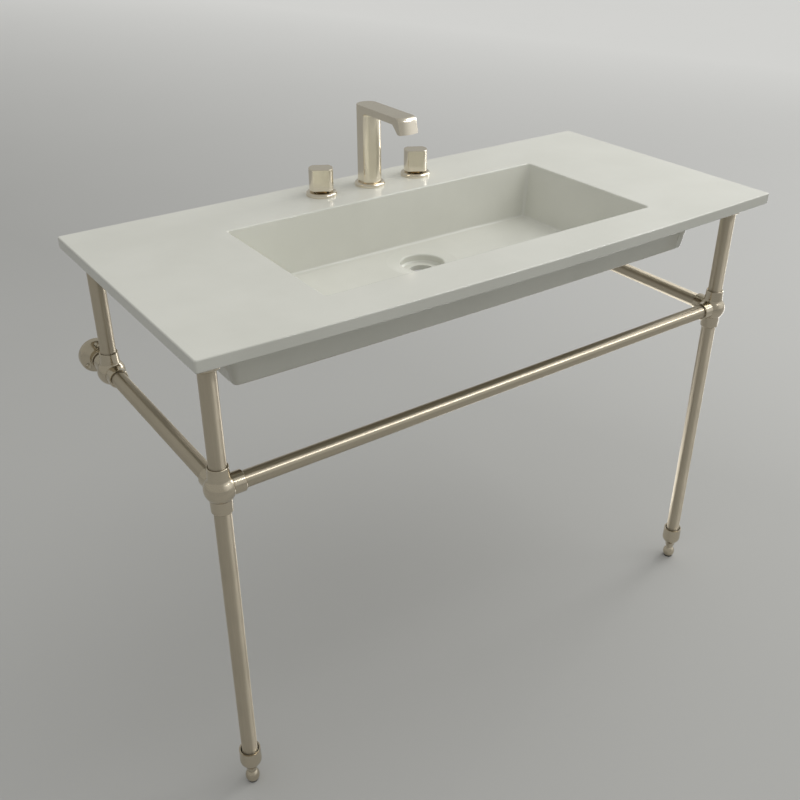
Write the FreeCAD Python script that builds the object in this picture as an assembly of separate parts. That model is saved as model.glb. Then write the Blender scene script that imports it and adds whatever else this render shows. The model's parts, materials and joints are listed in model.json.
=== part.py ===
import FreeCAD, Part
import math
import os

# Console sink: one fireclay casting with an integral basin, carried by a tubular
# metal frame with two front legs and two wall flanges, with a spout and two
# turning handles on the deck.
# Millimetres, +Z up, the front looks towards -Y and left is -X. The origin is on
# the floor under the middle of the whole part. Shares are plain ratios.

# Common to all pieces
overrun = 5.0
seat_gap = 0.15
running_gap = 0.05
end_gap = 0.3

# Slab of the casting
rim_height = 865.0
wall_gap = 30.0
slab_width = 1143.0
slab_depth = 530.5
slab_bow = 13.5
slab_thickness = 20.0
slab_corner_radius = 4.0
slab_edge_radius = 2.5

# Basin sunk into the slab
basin_side_margin = 238.2
basin_front_margin = 75.5
basin_back_margin = 136.5
basin_depth = 100.0
basin_side_draft = 22.5
basin_back_draft = 16.3
basin_front_draft = 42.0
basin_corner_radius = 6.5
basin_floor_radius = 5.0
basin_rim_radius = 3.0

# Drain in the basin floor
drain_from_basin_back = 97.2
drain_dish_diameter = 130.0
drain_dish_depth = 1.5
drain_recess_diameter = 79.0
drain_recess_depth = 16.0
drain_hole_diameter = 46.0
drain_ledge = 9.0
drain_edge_radius = 3.0
drain_boss_wall = 10.0
drain_boss_taper = 3.0

# Body under the slab, as walls round the basin's floor and a gap to the collars
body_floor = 17.2
body_front_wall = 14.6
body_back_wall = 18.8
body_collar_gap = 6.7
body_bow = 4.5
body_corner_radius = 20.0
body_bottom_radius = 5.0
body_draft_height = 45.0
body_draft = 8.5
body_cove_front = 31.0
body_cove_side = 25.0
body_cove_back = 9.0
body_cove_degrees = 60.0
body_cove_steps = 4

# Pockets moulded into the body from below, one beside each end of the basin
pocket_wall = 14.0
pocket_basin_wall = 17.0
pocket_roof = 29.2
pocket_release = 6.0
pocket_corner_radius = 16.0

# Holes through the deck for the faucet
deck_hole_diameter = 34.0
faucet_from_slab_back = 64.4
faucet_spacing = 105.4

# Tubes of the frame
tube_diameter = 26.7
tube_wall = 2.0
frame_height = 624.5
leg_side_inset = 36.9
leg_front_inset = 53.9
rear_post_inset = 49.2

# Fittings of the frame
ball_diameter = 48.5
socket_engagement = 22.0
mouth_ring = 0.9
mouth_ring_depth = 1.6
up_arm_reach = 36.5
up_arm_radius = 15.7
up_arm_root_radius = 16.5
up_arm_blend = 7.0
down_arm_reach = 41.0
down_arm_radius = 16.6
down_arm_root_radius = 17.8
side_arm_reach = 45.0
side_arm_radius = 17.2
arm_edge = 0.8
screw_diameter = 4.0
screw_sink = 0.4

# Collars that carry the slab on the posts
collar_diameter = 40.0
collar_height = 22.5
collar_roof = 3.0
collar_edge = 1.5
pad_thickness = 1.5
pad_setback = 2.0

# Wall flanges
flange_diameter = 65.0
flange_edge_height = 5.5
flange_shoulder_radius = 28.6
flange_shoulder_height = 10.5
flange_dome_height = 16.0
flange_hub_radius = 17.2
flange_hub_height = 27.0
flange_floor = 5.0
flange_hole_circle = 49.0
flange_hole_diameter = 6.5
flange_hole_count = 3
flange_sink_diameter = 11.0
flange_sink_height = 12.4

# Foot cups
cup_top = 78.0
cup_bottom = 31.0
cup_rim_radius = 18.85
cup_lip = 1.6
cup_bulge_radius = 19.3
cup_bulge_height = 60.0
cup_waist_radius = 14.2
cup_waist_height = 43.0
cup_hollow = 0.4
cup_belly = 0.9
cup_neck_radius = 10.6
cup_seat_height = 50.0
cup_throat_height = 66.0
cup_counterbore_height = 39.0

# Levelling feet
foot_neck_radius = 8.8
foot_neck_top = 35.0
foot_shoulder_height = 27.0
foot_belly_radius = 12.4
foot_belly_height = 16.0
foot_base_radius = 9.9
foot_base_height = 3.0
foot_stud_radius = 5.0
foot_stud_top = 98.0
insert_length = 26.0
pad_seat_height = 4.0
foot_pad_radius = 9.0

# Rings on the deck
ring_diameter = 57.0
ring_height = 7.0
ring_side_height = 3.0
ring_top_radius = 24.5
ring_land_radius = 18.8
ring_land_height = 8.3

# Handle knobs
knob_diameter = 44.6
knob_flats = 34.0
knob_turn_degrees = 30.0
knob_bottom = 9.5
knob_height = 40.0
knob_edge = 1.0
knob_skirt_radius = 14.0
knob_skirt_depth = 7.0
knob_bore_depth = 29.0
knob_screw_diameter = 3.0
knob_screw_height = 16.0
knob_screw_length = 8.0

# Valves under the handles
stem_radius = 5.5
stem_disc_radius = 8.0
stem_disc_top = 7.0
stem_disc_bottom = 20.0
bonnet_radius = 11.0
bonnet_top = 8.3
valve_radius = 13.5
valve_top = 6.5
valve_shank = 52.0
valve_length = 82.0
valve_step = 2.0
valve_bore_radius = 6.0
inlet_radius = 10.45
outlet_depth = 44.5
outlet_radius = 7.5
outlet_reach = 36.0
outlet_shoulder_radius = 9.0
outlet_shoulder_reach = 17.0
outlet_bore_radius = 4.5

# Clamping nuts and washers under the deck
washer_radius = 22.0
washer_thickness = 3.0
plate_thickness = 1.5
nut_flats = 38.0
nut_height = 10.0

# Spout
column_diameter = 44.0
column_flats = 39.0
spout_top = 148.0
arm_thickness = 12.5
arm_reach = 195.0
arm_nose_radius = 45.0
arm_nose_lean = 6.2
lip_drop = 27.4
lip_thickness = 6.5
lip_inner_lean = 12.5
arm_top_radius = 8.5
arm_root_radius = 6.0
spout_edge = 0.8
shank_radius = 10.45
shank_bore_radius = 7.0
shank_engagement = 14.0
shank_below_deck = 60.0
shank_tip_radius = 9.5
shank_tip_length = 20.0
channel_height = 5.0
channel_width = 18.0
slot_thickness = 2.6
slot_setback = 3.8
insert_height = 6.0
insert_hole_radius = 0.8
insert_hole_count = 6

# Places worked out from the sizes above
wall_y = (wall_gap + slab_depth + slab_bow) / 2
slab_back_y = wall_y - wall_gap
slab_front_y = slab_back_y - slab_depth
slab_under = rim_height - slab_thickness
leg_x = slab_width / 2 - leg_side_inset
basin_half = slab_width / 2 - basin_side_margin
basin_back_y = slab_back_y - basin_back_margin
basin_front_y = slab_front_y + basin_front_margin
basin_floor = rim_height - basin_depth
drain_y = basin_back_y - drain_from_basin_back
drain_ledge_height = basin_floor - drain_recess_depth
drain_under = drain_ledge_height - drain_ledge
body_bottom = basin_floor - body_floor
body_back_y = basin_back_y - basin_back_draft + body_back_wall
body_front_y = basin_front_y + basin_front_draft - body_front_wall
body_half = leg_x - collar_diameter / 2 - body_collar_gap - body_cove_side - body_draft
leg_y = slab_front_y + leg_front_inset
rear_y = slab_back_y - rear_post_inset
faucet_y = slab_back_y - faucet_from_slab_back
tube_radius = tube_diameter / 2
ball_radius = ball_diameter / 2
collar_top = slab_under - pad_thickness
collar_bottom = collar_top - collar_height

UP = FreeCAD.Vector(0, 0, 1)
DOWN = FreeCAD.Vector(0, 0, -1)
RIGHT = FreeCAD.Vector(1, 0, 0)
LEFT = FreeCAD.Vector(-1, 0, 0)
BACK = FreeCAD.Vector(0, 1, 0)
FRONT = FreeCAD.Vector(0, -1, 0)
SIDES = (("left", -1), ("right", 1))


def at(x, y, z):
    return FreeCAD.Vector(x, y, z)


def aimed(shape, base, direction):
    """Turn a shape made along +Z to a direction and put its origin at base."""
    moved = shape.copy()
    moved.Placement = FreeCAD.Placement(base, FreeCAD.Rotation(UP, direction))
    return moved


def rod(radius, base, direction, length):
    return Part.makeCylinder(radius, length, base, direction)


def pipe(radius, wall, base, direction, length):
    outer = rod(radius, base, direction, length)
    return outer.cut(rod(radius - wall, base, direction, length))


def turned(start, steps):
    """Revolve an outline of (radius, height) points about +Z.

    A step is an end point, or a pair (middle, end) for an arc.
    """
    edges = []
    here = at(start[0], 0, start[1])
    for step in steps + [start]:
        if isinstance(step[0], tuple):
            middle = at(step[0][0], 0, step[0][1])
            there = at(step[1][0], 0, step[1][1])
            edges.append(Part.Arc(here, middle, there).toShape())
        else:
            there = at(step[0], 0, step[1])
            edges.append(Part.LineSegment(here, there).toShape())
        here = there
    face = Part.Face(Part.Wire(edges))
    return face.revolve(at(0, 0, 0), UP, 360)


def on_arc(centre_radius, centre_height, radius, degrees):
    """Point of an outline on a circle, at an angle above the horizontal."""
    angle = math.radians(degrees)
    return (centre_radius + radius * math.cos(angle), centre_height + radius * math.sin(angle))


def rounded(shape, radius, test):
    """Fillet the edges for which test(edge) holds."""
    chosen = [edge for edge in shape.Edges if test(edge)]
    return shape.makeFillet(radius, chosen)


def level_edge(height):
    """Test for edges that lie in the horizontal plane at a height."""
    def test(edge):
        box = edge.BoundBox
        return abs(box.ZMin - height) < running_gap and abs(box.ZMax - height) < running_gap
    return test


def upright_edge(edge):
    box = edge.BoundBox
    return box.XLength < running_gap and box.YLength < running_gap


def rounded_rectangle(left, right, front, back, height, radius, bow):
    """Wire with rounded corners, whose front edge bows forward by bow."""
    corner = radius * (1 - math.sqrt(0.5))
    edges = [
        Part.Arc(at(left + radius, front, height), at((left + right) / 2, front - bow, height),
                 at(right - radius, front, height)).toShape()
        if bow else
        Part.LineSegment(at(left + radius, front, height), at(right - radius, front, height)).toShape(),
        Part.Arc(at(right - radius, front, height), at(right - corner, front + corner, height),
                 at(right, front + radius, height)).toShape(),
        Part.LineSegment(at(right, front + radius, height), at(right, back - radius, height)).toShape(),
        Part.Arc(at(right, back - radius, height), at(right - corner, back - corner, height),
                 at(right - radius, back, height)).toShape(),
        Part.LineSegment(at(right - radius, back, height), at(left + radius, back, height)).toShape(),
        Part.Arc(at(left + radius, back, height), at(left + corner, back - corner, height),
                 at(left, back - radius, height)).toShape(),
        Part.LineSegment(at(left, back - radius, height), at(left, front + radius, height)).toShape(),
        Part.Arc(at(left, front + radius, height), at(left + corner, front + corner, height),
                 at(left + radius, front, height)).toShape(),
    ]
    return Part.Wire(edges)


def make_slab():
    """Slab with a bowed front and softened edges."""
    half = slab_width / 2
    corners = [at(-half, slab_front_y, slab_under), at(half, slab_front_y, slab_under),
               at(half, slab_back_y, slab_under), at(-half, slab_back_y, slab_under)]
    bowed = Part.Arc(corners[0], at(0, slab_front_y - slab_bow, slab_under), corners[1]).toShape()
    sides = [Part.LineSegment(corners[i], corners[(i + 1) % 4]).toShape() for i in (1, 2, 3)]
    slab = Part.Face(Part.Wire([bowed] + sides)).extrude(at(0, 0, slab_thickness))
    slab = rounded(slab, slab_corner_radius, upright_edge)
    slab = rounded(slab, slab_edge_radius, level_edge(rim_height))
    return rounded(slab, slab_edge_radius, level_edge(slab_under))


def body_section(height, front, side, back):
    """Outline of the body at a height, grown by three amounts."""
    half = body_half + side
    return rounded_rectangle(-half, half, body_front_y - front, body_back_y + back, height,
                             body_corner_radius + side, body_bow)


def make_body():
    """Drafted body that sweeps out in a cove to meet the slab."""
    draft_top = body_bottom + body_draft_height
    lower = Part.makeLoft([body_section(body_bottom, 0, 0, 0),
                           body_section(draft_top, body_draft, body_draft, body_draft)], True, True)
    lower = rounded(lower, body_bottom_radius, level_edge(body_bottom))
    sweep = math.radians(body_cove_degrees)
    sections = []
    for step in range(body_cove_steps + 1):
        angle = sweep * step / body_cove_steps
        rise_share = math.sin(angle) / math.sin(sweep)
        out_share = (1 - math.cos(angle)) / (1 - math.cos(sweep))
        sections.append(body_section(
            draft_top + (slab_under - draft_top) * rise_share,
            body_draft + body_cove_front * out_share,
            body_draft + body_cove_side * out_share,
            body_draft + body_cove_back * out_share))
    upper = Part.makeLoft(sections, True, False)
    return lower.fuse(upper)


def basin_section(height):
    """Outline of the basin's inside at a height."""
    depth_share = (rim_height - height) / basin_depth
    half = basin_half - basin_side_draft * depth_share
    return rounded_rectangle(-half, half, basin_front_y + basin_front_draft * depth_share,
                             basin_back_y - basin_back_draft * depth_share, height,
                             basin_corner_radius, 0)


def make_basin_space():
    space = Part.makeLoft([basin_section(basin_floor), basin_section(rim_height + overrun)], True, True)
    return rounded(space, basin_floor_radius, level_edge(basin_floor))


def make_drain_space():
    """Shallow dish, recess with rounded edges and the through hole."""
    dish = drain_dish_diameter / 2
    recess = drain_recess_diameter / 2
    hole = drain_hole_diameter / 2
    edge = drain_edge_radius
    lip = -drain_dish_depth
    space = turned((0, overrun), [
        (dish, overrun), (dish, 0), (recess + edge, lip),
        (on_arc(recess + edge, lip - edge, edge, 135), (recess, lip - edge)),
        (recess, edge - drain_recess_depth), (recess - edge, -drain_recess_depth),
        (hole, -drain_recess_depth),
        (hole, -drain_recess_depth - drain_ledge - overrun),
        (0, -drain_recess_depth - drain_ledge - overrun)])
    return aimed(space, at(0, drain_y, basin_floor), UP)


def make_drain_boss():
    foot = drain_recess_diameter / 2 + drain_boss_wall
    rise = body_bottom - drain_under + overrun
    boss = turned((0, 0), [(foot - drain_boss_taper, 0), (foot, rise), (0, rise)])
    return aimed(boss, at(0, drain_y, drain_under), UP)


def make_pocket(side):
    """Drafted pocket open from below, between the basin and one end."""
    top = rim_height - pocket_roof
    inner_low = basin_half - basin_side_draft + pocket_basin_wall
    top_share = pocket_roof / basin_depth
    inner_high = basin_half - basin_side_draft * top_share + pocket_basin_wall
    outer = body_half - pocket_wall
    front = body_front_y + pocket_wall
    back = body_back_y - pocket_wall
    lean = pocket_release
    spans = ((body_bottom - overrun, inner_low, outer, front, back),
             (top, inner_high, outer - lean, front + lean, back - lean))
    sections = []
    for height, near, far, y_front, y_back in spans:
        ends = sorted((side * near, side * far))
        sections.append(rounded_rectangle(ends[0], ends[1], y_front, y_back, height,
                                          pocket_corner_radius, 0))
    return Part.makeLoft(sections, True, True)


def make_sink_top():
    """The whole casting: slab, body, basin, drain, pockets and deck holes."""
    sink = make_slab().fuse(make_body()).fuse(make_drain_boss()).removeSplitter()
    sink = sink.cut(make_basin_space())
    sink = rounded(sink, basin_rim_radius, basin_rim_edge)
    sink = sink.cut(make_drain_space())
    for side in (-1, 1):
        sink = sink.cut(make_pocket(side))
    for x in (-faucet_spacing, 0, faucet_spacing):
        sink = sink.cut(rod(deck_hole_diameter / 2, at(x, faucet_y, slab_under - overrun), UP,
                            slab_thickness + 2 * overrun))
    return sink


def basin_rim_edge(edge):
    box = edge.BoundBox
    inside = box.YMin > basin_front_y - overrun and box.YMax < basin_back_y + overrun
    across = box.XMin > -basin_half - overrun and box.XMax < basin_half + overrun
    return level_edge(rim_height)(edge) and inside and across


def socket_space(centre, direction, reach):
    """Bore of a fitting's arm with the narrow shadow ring at its mouth."""
    seat = centre + direction * (reach - socket_engagement)
    bore = rod(tube_radius + seat_gap, seat, direction, socket_engagement + overrun)
    ring_start = centre + direction * (reach - mouth_ring_depth)
    return bore.fuse(rod(tube_radius + mouth_ring, ring_start, direction, mouth_ring_depth + overrun))


def screw_place(centre, arm, reach, radius, facing):
    """Middle of a grub screw's outer end, on the side that an arm faces."""
    along = reach - socket_engagement / 2
    return centre + arm * along + facing * (radius - screw_sink)


def make_screw(place, facing, radius):
    length = radius - screw_sink - tube_radius - seat_gap
    return rod(screw_diameter / 2, place - facing * length, facing, length)


def screw_space(place, facing):
    depth = ball_radius - tube_radius
    return rod(screw_diameter / 2 + seat_gap, place - facing * depth / 2, facing, depth)


def neck_outline(reach, mouth_radius, root_radius, blend):
    """Upper half of a ball body: from the ball, through the blend, to the mouth."""
    centre_radius = root_radius + blend
    centre_height = math.sqrt((ball_radius + blend) ** 2 - centre_radius ** 2)
    touch = ball_radius / (ball_radius + blend)
    angle = math.degrees(math.atan2(centre_height, centre_radius))
    start = (centre_radius * touch, centre_height * touch)
    middle = on_arc(centre_radius, centre_height, blend, (180 + 180 + angle) / 2)
    return [(on_arc(0, 0, ball_radius, angle / 2), start),
            (middle, (root_radius, centre_height)),
            (mouth_radius, reach - arm_edge), (mouth_radius - arm_edge, reach)]


def ball_body(lower):
    """Turned body with the upward neck; lower is the outline below the middle."""
    neck = neck_outline(up_arm_reach, up_arm_radius, up_arm_root_radius, up_arm_blend)
    return turned(lower[0], lower[1:] + neck + [(0, up_arm_reach)])


def side_arm():
    return turned((0, 0), [(side_arm_radius, 0), (side_arm_radius, side_arm_reach - arm_edge),
                           (side_arm_radius - arm_edge, side_arm_reach), (0, side_arm_reach)])


def fitting(centre, body, arms):
    """Ball fitting with its arms and bores; returns the fitting and its screws."""
    solid = aimed(body, centre, UP)
    for direction, reach, radius, facing in arms:
        if direction.z == 0:
            solid = solid.fuse(aimed(side_arm(), centre, direction))
    screws = []
    for direction, reach, radius, facing in arms:
        solid = solid.cut(socket_space(centre, direction, reach))
        place = screw_place(centre, direction, reach, radius, facing)
        solid = solid.cut(screw_space(place, facing))
        screws.append(make_screw(place, facing, radius))
    return solid, screws


def make_ball_fitting(side):
    """Front fitting: up to the post, down to the leg, in to the bar, back to the rail."""
    crease_height = math.sqrt(ball_radius ** 2 - down_arm_root_radius ** 2)
    lower = [(0, -down_arm_reach), (down_arm_radius - arm_edge, -down_arm_reach),
             (down_arm_radius, arm_edge - down_arm_reach), (down_arm_root_radius, -crease_height),
             (on_arc(0, 0, ball_radius, -math.degrees(math.atan2(crease_height, down_arm_root_radius)) / 2),
              (ball_radius, 0))]
    arms = [(UP, up_arm_reach, up_arm_radius, BACK), (DOWN, down_arm_reach, down_arm_radius, BACK),
            (RIGHT * -side, side_arm_reach, side_arm_radius, DOWN),
            (BACK, side_arm_reach, side_arm_radius, DOWN)]
    return fitting(at(side * leg_x, leg_y, frame_height), ball_body(lower), arms)


def make_rear_fitting(side):
    """Rear fitting: up to the post, forward to the rail, back to the wall stub."""
    lower = [(0, -ball_radius), (on_arc(0, 0, ball_radius, -45), (ball_radius, 0))]
    arms = [(UP, up_arm_reach, up_arm_radius, RIGHT * -side),
            (FRONT, side_arm_reach, side_arm_radius, DOWN),
            (BACK, side_arm_reach, side_arm_radius, DOWN)]
    return fitting(at(side * leg_x, rear_y, frame_height), ball_body(lower), arms)


def make_collar(x, y):
    radius = collar_diameter / 2
    solid = turned((0, 0), [(radius - collar_edge, 0), (radius, collar_edge),
                            (radius, collar_height), (0, collar_height)])
    solid = aimed(solid, at(x, y, collar_bottom), UP)
    bore_depth = collar_height - collar_roof
    solid = solid.cut(rod(tube_radius + seat_gap, at(x, y, collar_bottom - overrun), UP,
                          bore_depth + overrun))
    return solid.cut(rod(tube_radius + mouth_ring, at(x, y, collar_bottom - overrun), UP,
                         mouth_ring_depth + overrun))


def make_post(x, y):
    """Post tube from a fitting's upward socket to its collar's roof."""
    start = frame_height + up_arm_reach - socket_engagement
    return pipe(tube_radius, tube_wall, at(x, y, start), UP, collar_top - collar_roof - start)


def make_post_pad(x, y):
    return rod(collar_diameter / 2 - pad_setback, at(x, y, collar_top), UP, pad_thickness)


def make_wall_flange(x):
    """Domed round flange with a hub, three countersunk holes and a blind socket."""
    rim = flange_diameter / 2
    shoulder = (flange_shoulder_radius, flange_shoulder_height)
    edge_middle = ((rim + flange_shoulder_radius) / 2 + arm_edge,
                   (flange_edge_height + flange_shoulder_height) / 2 + arm_edge)
    solid = turned((0, 0), [(rim, 0), (rim, flange_edge_height), (edge_middle, shoulder),
                            (flange_hub_radius, flange_dome_height),
                            (flange_hub_radius, flange_hub_height - arm_edge),
                            (flange_hub_radius - arm_edge, flange_hub_height), (0, flange_hub_height)])
    solid = solid.cut(rod(tube_radius + seat_gap, at(0, 0, flange_floor), UP, flange_hub_height))
    solid = solid.cut(rod(tube_radius + mouth_ring, at(0, 0, flange_hub_height - mouth_ring_depth), UP,
                          flange_hub_height))
    hole = flange_hole_diameter / 2
    sink = flange_sink_diameter / 2
    for index in range(flange_hole_count):
        angle = math.radians(90 + 360 * index / flange_hole_count)
        place = at(flange_hole_circle / 2 * math.cos(angle), -flange_hole_circle / 2 * math.sin(angle), 0)
        tool = turned((0, -overrun), [(hole, -overrun), (hole, flange_sink_height - sink + hole),
                                      (sink, flange_sink_height),
                                      (sink, flange_dome_height + overrun),
                                      (0, flange_dome_height + overrun)])
        solid = solid.cut(aimed(tool, place, UP))
    return aimed(solid, at(x, wall_y, frame_height), FRONT)


def make_foot_cup(x, y):
    """Vase-shaped cup with an open rim round the leg and a counterbore below."""
    hollow = ((cup_neck_radius + cup_waist_radius) / 2 - cup_hollow, (cup_bottom + cup_waist_height) / 2)
    belly = ((cup_waist_radius + cup_bulge_radius) / 2 + cup_belly,
             (cup_waist_height + cup_bulge_height) / 2)
    outside = [(cup_neck_radius, cup_bottom),
               (hollow, (cup_waist_radius, cup_waist_height)),
               (belly, (cup_bulge_radius, cup_bulge_height)),
               (cup_rim_radius, cup_top)]
    throat = tube_radius + seat_gap
    inside = [(cup_rim_radius - cup_lip, cup_top), (throat, cup_throat_height),
              (throat, cup_seat_height), (0, cup_seat_height)]
    solid = turned((0, cup_bottom), outside + inside)
    solid = solid.cut(rod(foot_neck_radius + end_gap, at(0, 0, cup_bottom - overrun), UP,
                          cup_counterbore_height - cup_bottom + overrun))
    solid = solid.cut(rod(foot_stud_radius + end_gap, at(0, 0, cup_bottom), UP, cup_top))
    return aimed(solid, at(x, y, 0), UP)


def make_leg_insert(x, y):
    base = at(x, y, cup_seat_height)
    plug = rod(tube_radius - tube_wall - seat_gap, base, UP, insert_length)
    return plug.cut(rod(foot_stud_radius + running_gap, base, UP, insert_length))


def make_levelling_foot(x, y):
    """Barrel foot with its neck and stud, and a seat for the pad."""
    solid = turned((0, foot_base_height), [
        (foot_base_radius, foot_base_height),
        ((foot_belly_radius, foot_belly_height), (foot_neck_radius, foot_shoulder_height)),
        (foot_neck_radius, foot_neck_top), (foot_stud_radius, foot_neck_top),
        (foot_stud_radius, foot_stud_top - arm_edge), (foot_stud_radius - arm_edge, foot_stud_top),
        (0, foot_stud_top)])
    solid = solid.cut(rod(foot_pad_radius + seat_gap, at(0, 0, 0), UP, pad_seat_height))
    return aimed(solid, at(x, y, 0), UP)


def make_ring(x, land):
    """Deck ring with a rounded shoulder; the spout's ring has a raised land."""
    rim = ring_diameter / 2
    bore = (shank_radius if land else valve_radius) + end_gap
    shoulder_middle = ((rim + ring_top_radius) / 2 + arm_edge, (ring_side_height + ring_height) / 2 + arm_edge)
    steps = [(rim, 0), (rim, ring_side_height), (shoulder_middle, (ring_top_radius, ring_height))]
    if land:
        steps += [(ring_land_radius, ring_height), (ring_land_radius, ring_land_height),
                  (bore, ring_land_height)]
    else:
        steps += [(bore, ring_height)]
    return aimed(turned((bore, 0), steps), at(x, faucet_y, rim_height), UP)


def knob_facing():
    """Direction of the knob's front flat."""
    angle = math.radians(knob_turn_degrees)
    return at(-math.sin(angle), -math.cos(angle), 0)


def make_knob(x):
    """Round knob with two flats, bored for the stem, with a cross hole at the back."""
    radius = knob_diameter / 2
    base = at(x, faucet_y, rim_height + knob_bottom)
    solid = rod(radius, base, UP, knob_height)
    slabs = Part.makeBox(2 * radius, knob_flats, knob_height, at(-radius, -knob_flats / 2, 0))
    slabs.Placement = FreeCAD.Placement(base, FreeCAD.Rotation(UP, -knob_turn_degrees))
    solid = solid.common(slabs)
    solid = rounded(solid, knob_edge, level_edge(rim_height + knob_bottom + knob_height))
    solid = rounded(solid, knob_edge, level_edge(rim_height + knob_bottom))
    solid = solid.cut(rod(knob_skirt_radius, base - UP * overrun, UP, knob_skirt_depth + overrun))
    solid = solid.cut(rod(stem_radius + seat_gap, base, UP, knob_bore_depth))
    back = knob_facing() * -1
    hole_base = base + UP * knob_screw_height
    return solid.cut(rod(knob_screw_diameter / 2 + seat_gap, hole_base, back, radius))


def make_knob_screw(x):
    base = at(x, faucet_y, rim_height + knob_bottom + knob_screw_height)
    back = knob_facing() * -1
    return rod(knob_screw_diameter / 2, base + back * (stem_radius + seat_gap), back, knob_screw_length)


def make_stem(x):
    top = knob_bottom + knob_bore_depth
    stem = turned((0, -stem_disc_bottom), [(stem_disc_radius, -stem_disc_bottom),
                                           (stem_disc_radius, -stem_disc_top),
                                           (stem_radius, -stem_disc_top), (stem_radius, top), (0, top)])
    return aimed(stem, at(x, faucet_y, rim_height), UP)


def make_bonnet(x):
    base = at(x, faucet_y, rim_height - stem_disc_top + end_gap)
    length = bonnet_top + stem_disc_top - end_gap
    bonnet = rod(bonnet_radius, base, UP, length)
    return bonnet.cut(rod(stem_radius + running_gap, base, UP, length))


def make_valve_body(x):
    """Valve body: shank through the deck, inlet below, shouldered outlet to the back."""
    body = turned((valve_bore_radius, -valve_length), [
        (inlet_radius, -valve_length), (inlet_radius, -valve_shank - valve_step),
        (valve_radius, -valve_shank), (valve_radius, valve_top),
        (bonnet_radius + seat_gap, valve_top), (bonnet_radius + seat_gap, end_gap - stem_disc_top),
        (stem_disc_radius + end_gap, end_gap - stem_disc_top),
        (stem_disc_radius + end_gap, -stem_disc_bottom - end_gap),
        (valve_bore_radius, -stem_disc_bottom - end_gap)])
    body = aimed(body, at(x, faucet_y, rim_height), UP)
    middle = at(x, faucet_y, rim_height - outlet_depth)
    neck_start = valve_bore_radius + end_gap
    neck = turned((0, neck_start), [(outlet_shoulder_radius, neck_start),
                                    (outlet_shoulder_radius, outlet_shoulder_reach),
                                    (outlet_radius, outlet_shoulder_reach),
                                    (outlet_radius, outlet_reach), (0, outlet_reach)])
    body = body.fuse(aimed(neck, middle, BACK))
    return body.cut(rod(outlet_bore_radius, middle, BACK, outlet_reach + overrun))


def make_washer(x, bore_radius, below, thickness):
    base = at(x, faucet_y, slab_under - below - thickness)
    return pipe(washer_radius, washer_radius - bore_radius - end_gap, base, UP, thickness)


def make_nut(x, bore_radius):
    below = washer_thickness + plate_thickness
    base = at(x, faucet_y, slab_under - below - nut_height)
    corner = nut_flats / math.sqrt(3)
    points = [base + at(corner * math.cos(math.radians(60 * i)), corner * math.sin(math.radians(60 * i)), 0)
              for i in range(6)]
    hexagon = Part.Face(Part.makePolygon(points + points[:1])).extrude(UP * nut_height)
    return hexagon.cut(rod(bore_radius + seat_gap, base, UP, nut_height))


def forward(distance, height):
    """Point of the spout's side view: distance in front of the slab's back edge."""
    return at(0, slab_back_y - distance, rim_height + height)


def nose(radius_low, radius_high, low, high):
    """Upright cone at the spout's nose, from one height to another."""
    return Part.makeCone(radius_low, radius_high, high - low,
                         forward(arm_reach - arm_nose_radius, low), UP)


def arm_block(half_width, start, low, high):
    """Straight part of the arm, from a distance to the nose's centre."""
    end = arm_reach - arm_nose_radius
    corner = at(-half_width, slab_back_y - end, rim_height + low)
    return Part.makeBox(2 * half_width, end - start, high - low, corner)


def make_spout_body():
    """Round column with two side flats, flat arm, and a lip that turns down."""
    half = column_flats / 2
    radius = column_diameter / 2
    low = spout_top - lip_drop
    under = spout_top - arm_thickness
    column_base = forward(faucet_from_slab_back, ring_land_height)
    column = rod(radius, column_base, UP, spout_top - ring_land_height)
    trim = Part.makeBox(2 * half, 2 * radius, spout_top,
                        at(-half, faucet_y - radius, rim_height))
    column = column.common(trim)
    column = rounded(column, spout_edge, level_edge(rim_height + ring_land_height))

    block = arm_block(half, faucet_from_slab_back, low, spout_top)
    tip = nose(arm_nose_radius, arm_nose_radius - arm_nose_lean, low, spout_top)
    strip = Part.makeBox(2 * half, arm_nose_radius, lip_drop,
                         at(-half, slab_back_y - arm_reach, rim_height + low))
    outer = block.fuse(tip.common(strip)).removeSplitter()
    outer = rounded(outer, arm_top_radius, lambda edge: level_edge(rim_height + spout_top)(edge)
                    and edge.BoundBox.YMax < slab_back_y - arm_reach + arm_nose_radius / 2)

    inner_low = arm_nose_radius - lip_thickness
    hollow = nose(inner_low, inner_low - lip_inner_lean, low, under)
    hollow = hollow.fuse(rod(inner_low, forward(arm_reach - arm_nose_radius, low - overrun), UP, overrun))
    run = arm_block(radius, faucet_from_slab_back + radius / 2, low - overrun, under)
    arm = outer.cut(hollow).cut(run)
    spout = column.fuse(arm).removeSplitter()
    spout = rounded(spout, arm_root_radius, arm_root_edge)

    spout = spout.cut(rod(shank_radius + seat_gap, column_base, UP, shank_engagement))
    middle = under + arm_thickness / 2
    spout = spout.cut(rod(shank_bore_radius, column_base, UP, middle - ring_land_height))
    spout = spout.cut(make_channel(middle))
    return spout.cut(make_slot(0, 0, lip_drop))


def arm_root_edge(edge):
    """The curved edge where the column's round front meets the arm's underside."""
    box = edge.BoundBox
    at_height = level_edge(rim_height + spout_top - arm_thickness)(edge)
    near_column = box.YMin > faucet_y - column_diameter / 2 - spout_edge
    return at_height and near_column and edge.Curve.TypeId != "Part::GeomLine"


def make_channel(middle):
    """Flat waterway along the arm, from the column to the lip."""
    end = arm_reach - slot_setback - lip_thickness
    corner = at(-channel_width / 2, slab_back_y - end, rim_height + middle - channel_height / 2)
    return Part.makeBox(channel_width, end - faucet_from_slab_back, channel_height, corner)


def slot_line():
    """Foot of the lip's slot as (distance, height), its top height, and its lean."""
    foot = (arm_reach - slot_setback, spout_top - lip_drop)
    top = spout_top - arm_thickness / 2
    lean = -(lip_thickness + arm_nose_lean / 2) / (top - foot[1])
    return foot, top, lean


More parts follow.
